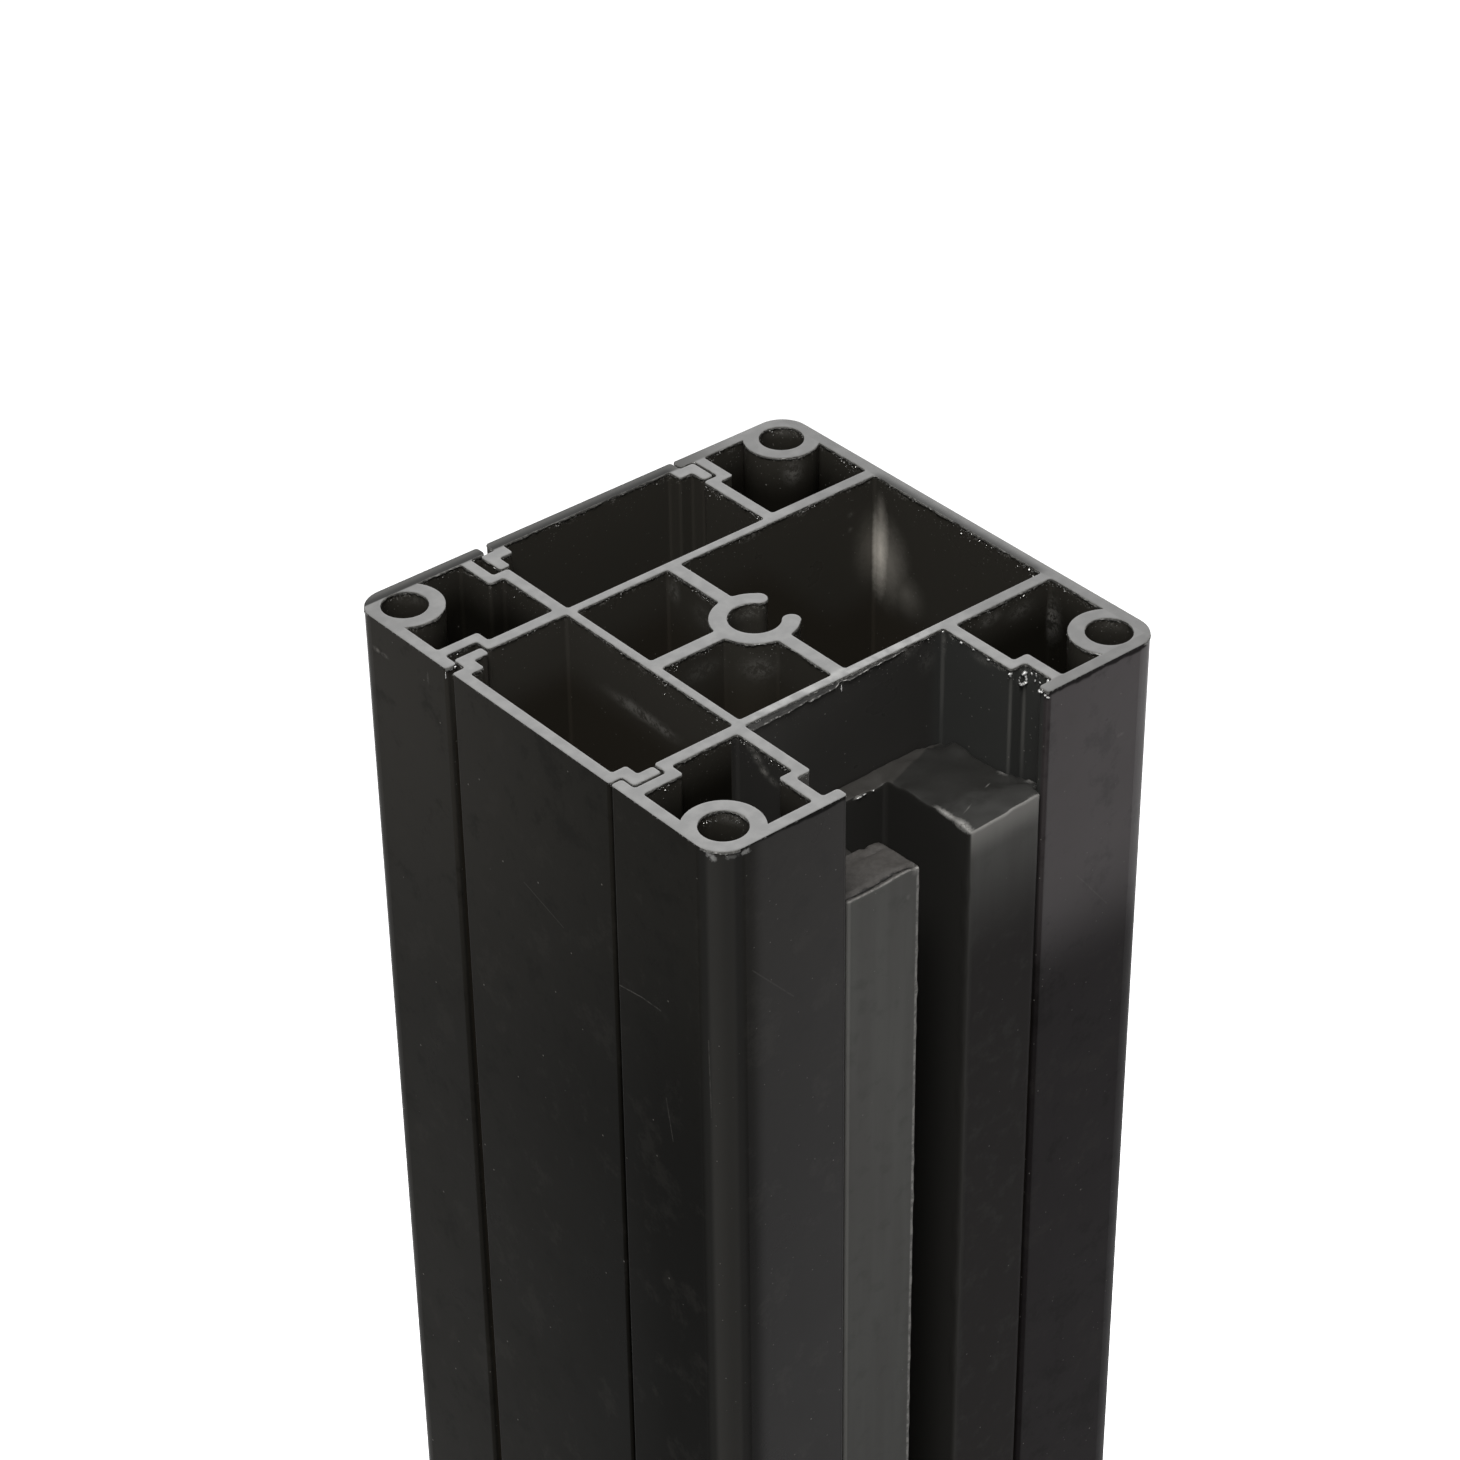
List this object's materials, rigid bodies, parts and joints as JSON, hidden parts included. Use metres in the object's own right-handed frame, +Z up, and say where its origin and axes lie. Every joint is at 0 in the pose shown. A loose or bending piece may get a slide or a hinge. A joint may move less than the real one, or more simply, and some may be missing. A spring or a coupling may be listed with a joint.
{
  "type": "fence post",
  "caption": "Square hollow metal post with corner screw ports, an open slot with a U-shaped gasket that grips a glass panel, and clip-in strips over its other slots.",
  "frame": {"origin": "centre of the post's base end, on the surface that it stands on", "axes": "+Z up along the post, -Y out of the open slot, -X and +Y out of the two covered slots, +X out of the plain face"},
  "size_m": [0.07, 0.07, 1.05],
  "materials": {
    "powder_coat": "satin",
    "gasket_rubber": "matte"
  },
  "bodies": {
    "root": {"post_extrusion": "powder_coat", "left_cover_strip": "powder_coat", "back_cover_strip": "powder_coat", "glazing_gasket": "gasket_rubber"}
  },
  "joints": []
}
